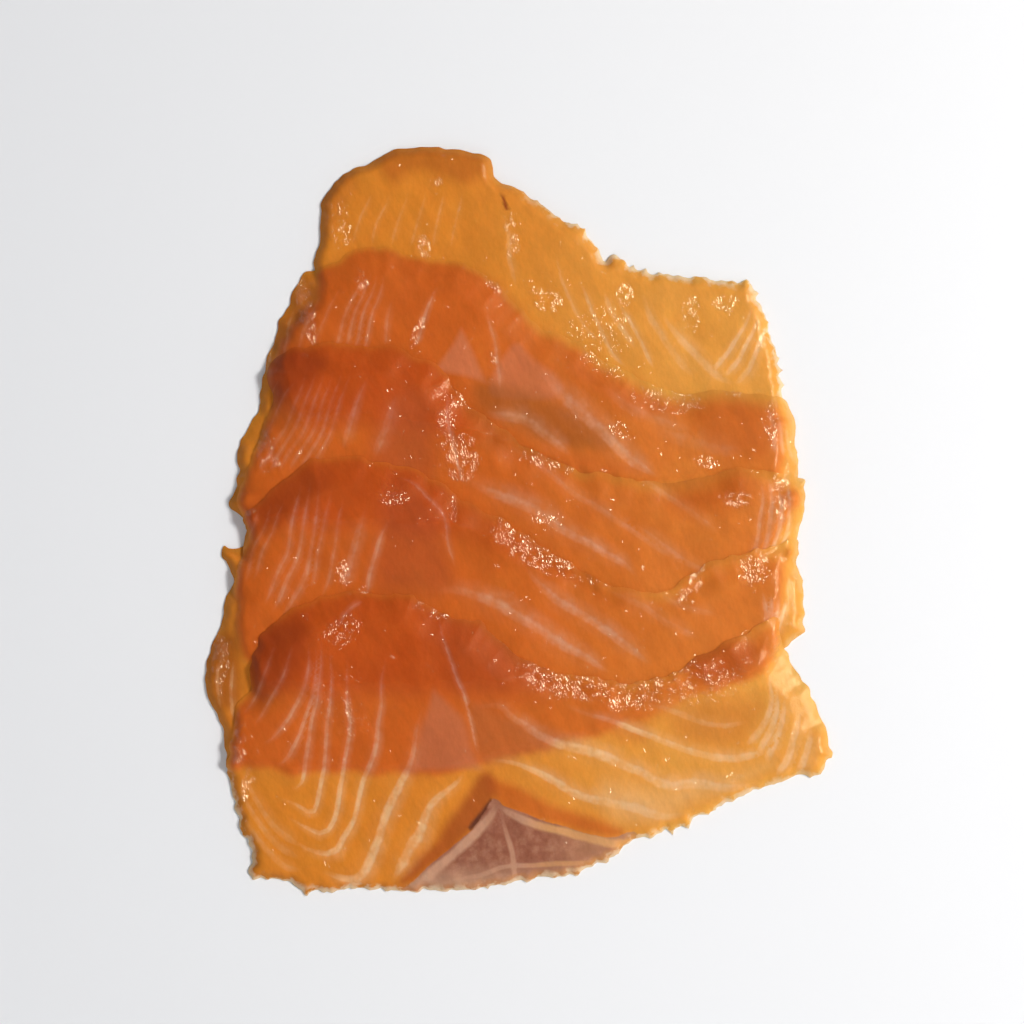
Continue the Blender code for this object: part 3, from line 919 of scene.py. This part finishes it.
def fat_share(n, per_mm, depth, shake):
    """How much fat shows: a pale line with a softer glow around it, less crisp the deeper the painted
    see-through colour.
    """
    strength = n.attribute("fat_strength")
    share = n.math("MULTIPLY_ADD", shake, 0.7, n.attribute("fat_near"))
    line = n.step(share, 1.4, 0.5)
    glow = n.step(share, 4.2, 0.3)
    one_side = n.step(n.attribute("fat_side"), -0.6, 0.6, 0.08, 0.32)
    crisp = n.step(depth, 0.35, 0.8, 0.6, 0.27)
    line = n.math("MULTIPLY_ADD", line, crisp, n.math("MULTIPLY", glow, one_side))
    line = n.math("MULTIPLY", line, strength)
    patchy = n.step(n.noise(per_mm, 0.25, 2, 0.65), 0.32, 0.68, 0.5, 1.2)
    return n.math("MULTIPLY", line, patchy, clamp=True)


def with_dark_muscle(n, colour, per_mm, x_mm, y_mm, shake):
    """The dark muscle and the pale fat that frames it, which lie open on the last slice."""
    muscle = n.step(n.math("MULTIPLY_ADD", shake, 0.5, n.attribute("muscle")), -0.25, 0.25)
    mottled = n.ramp(n.noise(per_mm, 0.35, 3, 0.6), MUSCLE_STOPS)
    mottled = n.mix(n.step(x_mm, 3, 20, 0.0, 0.5), mottled, linear(196, 142, 104))
    skin = n.step(y_mm, -80, -89)
    mottled = n.mix(n.math("MULTIPLY", skin, 0.6), mottled, linear(206, 164, 132))
    colour = n.mix(muscle, colour, mottled)
    frame_line = n.step(n.math("MULTIPLY_ADD", shake, 0.8, n.attribute("frame_near")), 1.6, 0.5)
    frame_line = n.math("MULTIPLY", n.math("MULTIPLY", frame_line, n.attribute("frame_strength")), muscle)
    tan = n.mix(n.step(x_mm, -1, 7), linear(202, 152, 122), linear(214, 156, 100))
    return n.mix(n.math("MULTIPLY", frame_line, 0.8), colour, tan)


def with_rim(n, colour, per_mm, belly, shake):
    """The rim over the floor, with nothing under it: a painted edge colour, darker at the back and yellow
    at the belly where the floor's light shows through the thin flesh, and painted whitish where it is torn
    and the floor's light shows through.
    """
    rim = n.math("MULTIPLY_ADD", shake, 1.4, n.attribute("rim"))
    alone = n.step(n.attribute("layers_behind"), 0.5, 0.1)
    # painted light: an edge colour on the rim over the floor, yellow at the belly for the floor's light
    # through the thin flesh
    edge = n.math("MULTIPLY", n.math("MULTIPLY", n.step(rim, 2.6, 0.2), 0.6), alone)
    colour = n.mix(edge, colour, n.mix(belly, linear(182, 102, 28), linear(224, 154, 62)))
    # painted light: whitish where the floor's light shows through the thin torn rim
    tatter = n.step(n.noise(per_mm, 0.3, 3), 0.35, 0.65, 0.3, 2.4)
    torn = n.math("MULTIPLY", n.math("MULTIPLY", n.step(rim, tatter, 0.0), n.attribute("torn")), alone)
    return n.mix(n.math("MULTIPLY", torn, 0.7), colour, linear(232, 208, 174))


def with_fibres(n, colour, stretched):
    """Fine fibres, and broader streaks along them."""
    fibre = n.step(n.noise(stretched, 1.3, 2, 0.6), 0.25, 0.75, 0.97, 1.03)
    streaked = n.scaled_position((1000, 300, 1000), 30)
    streak = n.step(n.noise(streaked, 0.3, 3, 0.6), 0.3, 0.7, 0.93, 1.07)
    return n.mix(1.0, colour, n.math("MULTIPLY", fibre, streak), "MULTIPLY")


def add_moisture(n, per_mm, stretched, line):
    """A moist surface: soft ripples, and wet places with facets sharp enough to glint in the coat."""
    ripple = n.noise(stretched, 1.1, 2, 0.55)
    grainy = n.noise(per_mm, 0.9, 2, 0.6)
    height = n.math("MULTIPLY_ADD", ripple, 0.3, n.math("MULTIPLY", grainy, 0.4))
    height = n.math("MULTIPLY_ADD", line, -0.3, height)
    soft = n.bump(height, RIPPLE_HEIGHT)
    facets = n.noise(n.scaled_position((1000, 300, 1000), 18), 2.4, 1, 0.5)
    scattered = n.step(n.noise(per_mm, 0.5, 1), 0.64, 0.8, 0.03, 0.6)
    spots = n.step(n.noise(per_mm, 0.6, 2), 0.38, 0.62, 0.05, 1.0)
    damp = n.step(n.math("MULTIPLY", n.attribute("wet"), spots), 0.05, 0.5)
    wet = n.math("MAXIMUM", damp, scattered)
    sharp = n.bump(n.math("MULTIPLY", facets, wet), FACET_HEIGHT, soft)
    n.plug(soft, n.shader.inputs["Normal"])
    n.plug(sharp, n.shader.inputs["Coat Normal"])
    n.plug(n.step(grainy, 0.3, 0.7, 0.38, 0.55), n.shader.inputs["Roughness"])
    n.plug(n.math("MULTIPLY_ADD", wet, 0.95, 0.04), n.shader.inputs["Coat Weight"])
    n.shader.inputs["Specular IOR Level"].default_value = 0.06
    n.shader.inputs["Coat Roughness"].default_value = 0.1
    n.shader.inputs["Coat IOR"].default_value = 1.5


def flesh_material():
    """Flesh painted deeper and redder over more layers, standing in for the floor's light through fewer of
    them, its fat, dark muscle and rims, and its moist surface.
    """
    material = bpy.data.materials.new("smoked_salmon")
    n = Nodes(material)
    per_mm = n.scaled_position((1000, 1000, 1000))
    stretched = n.scaled_position((1000, 380, 1000))
    place = n.add("ShaderNodeSeparateXYZ")
    n.plug(per_mm, place.inputs[0])
    x_mm, y_mm = place.outputs["X"], place.outputs["Y"]
    belly = n.step(x_mm, BACK_END_X, BELLY_START_X)

    depth = n.math("DIVIDE", n.attribute("depth"), 3.0)
    blotch = n.noise(per_mm, 0.12, 3)
    depth = n.math("MULTIPLY_ADD", n.math("SUBTRACT", blotch, 0.5), 0.2, depth, clamp=True)
    colour = n.mix(belly, n.ramp(depth, BACK_STOPS), n.ramp(depth, BELLY_STOPS))
    tint = n.add("ShaderNodeAttribute", attribute_name="tint")
    colour = n.mix(tint.outputs["Alpha"], colour, tint.outputs["Color"])

    # the same shake wavers the edges of the fat, of the muscle and of the rim
    shake = n.math("SUBTRACT", n.noise(per_mm, 0.7, 3), 0.5)
    line = fat_share(n, per_mm, depth, shake)
    # the fat is painted pinker and darker where the see-through colour is deeper
    fat = n.mix(n.step(depth, 0.35, 0.9), linear(230, 178, 126), linear(208, 148, 126))
    colour = n.mix(line, colour, fat)
    colour = with_dark_muscle(n, colour, per_mm, x_mm, y_mm, shake)
    colour = with_rim(n, colour, per_mm, belly, shake)
    colour = with_fibres(n, colour, stretched)
    n.plug(colour, n.shader.inputs["Base Color"])

    add_moisture(n, per_mm, stretched, line)
    n.shader.inputs["Subsurface Weight"].default_value = 0.15
    n.shader.inputs["Subsurface Radius"].default_value = (0.004, 0.0016, 0.0007)
    n.shader.inputs["Subsurface Scale"].default_value = 1.0
    return material


def floor_material():
    material = bpy.data.materials.new("pale_floor")
    n = Nodes(material)
    n.shader.inputs["Base Color"].default_value = linear(238, 239, 242)
    n.shader.inputs["Roughness"].default_value = 0.7
    n.shader.inputs["Specular IOR Level"].default_value = 0.2
    return material


# ---------------------------------------------------------------- stage

def add_camera():
    camera = bpy.data.cameras.new("camera")
    camera.sensor_width = SENSOR_WIDTH
    camera.lens = SENSOR_WIDTH * CAMERA_HEIGHT / VIEW_WIDTH
    camera.clip_end = 20
    item = bpy.data.objects.new("camera", camera)
    item.location = (CAMERA_CENTRE[0] * MM, CAMERA_CENTRE[1] * MM, CAMERA_HEIGHT * MM)
    bpy.context.scene.collection.objects.link(item)
    bpy.context.scene.camera = item


def add_area(name, place, size, watts, colour):
    """A square area light that looks at the middle of the stack. Places and sizes are in metres."""
    light = bpy.data.lights.new(name, "AREA")
    light.size = size
    light.energy = watts
    light.color = colour
    item = bpy.data.objects.new(name, light)
    item.location = place
    item.rotation_euler = (-Vector(place)).to_track_quat("-Z", "Y").to_euler()
    bpy.context.scene.collection.objects.link(item)
    return item


def add_floor():
    mesh = bpy.data.meshes.new("floor")
    half = 2.0
    below = -0.0001
    mesh.from_pydata(
        [(-half, -half, below), (half, -half, below), (half, half, below), (-half, half, below)],
        [], [(0, 1, 2, 3)])
    mesh.materials.append(floor_material())
    floor = bpy.data.objects.new("floor", mesh)
    bpy.context.scene.collection.objects.link(floor)


def add_lights():
    """A key and a fill that colour the flesh, and a warm glint that only the gloss sees."""
    add_area("key", *KEY_LIGHT).visible_glossy = False
    add_area("fill", *FILL_LIGHT).visible_glossy = False
    add_area("glint", *GLINT_LIGHT).visible_diffuse = False
    world = bpy.data.worlds.new("studio")
    n = Nodes(world)
    background = n.tree.nodes["Background"]
    direction = n.add("ShaderNodeSeparateXYZ")
    n.plug(n.add("ShaderNodeTexCoord").outputs["Generated"], direction.inputs[0])
    background.inputs["Color"].default_value = SKY_COLOUR
    strength = n.step(direction.outputs["Z"], 0.1, 0.9, HORIZON_STRENGTH, ZENITH_STRENGTH)
    n.plug(strength, background.inputs["Strength"])
    bpy.context.scene.world = world
    bpy.context.scene.view_settings.view_transform = "Standard"


def build_stack():
    outlines = build_outlines()
    grid = Grid(cad_box)
    rims = {name: rim_field(grid, outlines[name]) for name in NAMES}
    shares = {name: layer_share(grid, name, rims[name]) for name in NAMES}
    heights = np.zeros(grid.shape)
    flesh = flesh_material()
    for number, name in enumerate(NAMES):
        seed = SLICE_SEED + 20 * number
        piece, heights = build_slice(name, seed, outlines, grid, heights, rims, shares)
        piece.data.materials.append(flesh)


build_stack()
add_floor()
add_lights()
add_camera()
